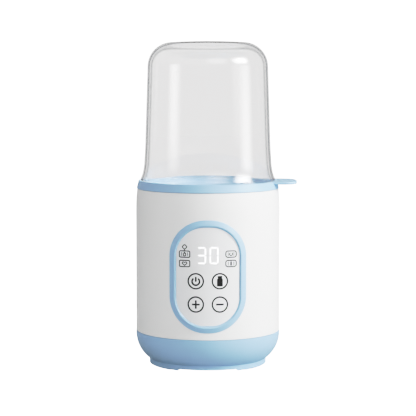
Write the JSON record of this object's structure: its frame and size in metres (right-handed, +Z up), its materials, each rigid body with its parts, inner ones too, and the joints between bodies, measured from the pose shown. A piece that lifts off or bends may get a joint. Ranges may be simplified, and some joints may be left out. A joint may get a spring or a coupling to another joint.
{
  "type": "bottle warmer",
  "caption": "Round baby-bottle warmer with a clear dome, lift-out bottle basket with a finger tab, heated steel chamber and a touch panel.",
  "frame": {"origin": "on the table, on the axis of the round body", "axes": "+Z up along the body's axis, the control panel faces -Y, the basket's finger tab points to +X"},
  "size_m": [0.1325, 0.1208, 0.265],
  "materials": {
    "shell_white": "satin moulded ABS",
    "pale_blue": "satin moulded polypropylene",
    "panel_white": "polished back-printed ABS lens",
    "clear_cover": "polished clear copolyester",
    "display_black": "moulded display body",
    "lit_white": "milky light bars",
    "clear_guide": "clear acrylic",
    "board_green": "solder-masked fibreglass",
    "steel": "pressed stainless steel",
    "zinc": "zinc-plated steel",
    "aluminium": "machined aluminium",
    "ceramic": "insulated heater case",
    "silicone": "translucent silicone",
    "rubber_grey": "soft grey rubber",
    "natural_plastic": "unpainted structural plastic",
    "black_plastic": "moulded black plastic",
    "white_plastic": "white connector plastic",
    "blue_box": "moulded component case",
    "yellow_tape": "tape-wrapped coil",
    "ferrite": "sintered ferrite",
    "can_sleeve": "shrink-sleeved can",
    "nickel": "nickel-plated brass",
    "insulation": "silicone insulated wire",
    "ribbon_grey": "flat ribbon cable",
    "label_silver": "satin foil label"
  },
  "bodies": {
    "body": {"base_plate": "pale_blue", "base_screw_1": "zinc", "base_screw_2": "zinc", "base_screw_3": "zinc", "base_screw_4": "zinc", "base_shell": "pale_blue", "board_connector": "white_plastic", "board_terminals": "white_plastic", "body_shell": "shell_white", "buzzer": "black_plastic", "chamber_clamp_ring": "zinc", "chamber_collar": "shell_white", "chamber_seal": "silicone", "chassis": "natural_plastic", "clamp_ring_screws": "zinc", "control_board": "board_green", "control_board_screws": "zinc", "control_chip": "black_plastic", "control_panel": "panel_white", "digit_segments": "lit_white", "display_module": "display_black", "film_capacitor": "blue_box", "filter_capacitor": "can_sleeve", "foot_pad_1": "rubber_grey", "foot_pad_2": "rubber_grey", "foot_pad_3": "rubber_grey", "foot_pad_4": "rubber_grey", "fuse_clip": "zinc", "heater_bracket": "zinc", "heater_leads": "insulation", "heater_plate": "aluminium", "heater_screws": "zinc", "heater_triac": "black_plastic", "inlet_pin_1": "nickel", "inlet_pin_2": "nickel", "mains_inlet": "black_plastic", "mains_leads": "insulation", "mode_light_guides": "clear_guide", "panel_bezel": "pale_blue", "panel_ribbon": "ribbon_grey", "power_board": "board_green", "power_board_screws": "zinc", "power_relay": "blue_box", "ptc_heater": "ceramic", "rating_label": "label_silver", "sensor_leads": "black_plastic", "temperature_sensor": "aluminium", "thermal_fuse": "zinc", "touch_spring_1": "zinc", "touch_spring_2": "zinc", "touch_spring_3": "zinc", "touch_spring_4": "zinc", "transformer_coil": "yellow_tape", "transformer_core": "ferrite", "triac_heat_sink": "aluminium", "water_chamber": "steel"},
    "basket": {"lift_basket": "pale_blue"},
    "dome": {"dome_cover": "clear_cover"}
  },
  "joints": [
    {"name": "basket_lift", "type": "slide", "parent": "body", "child": "basket", "axis": [0, 0, 1], "range_m": [0, 0.115]},
    {"name": "dome_lift", "type": "slide", "parent": "basket", "child": "dome", "axis": [0, 0, 1], "range_m": [0, 0.13]}
  ]
}
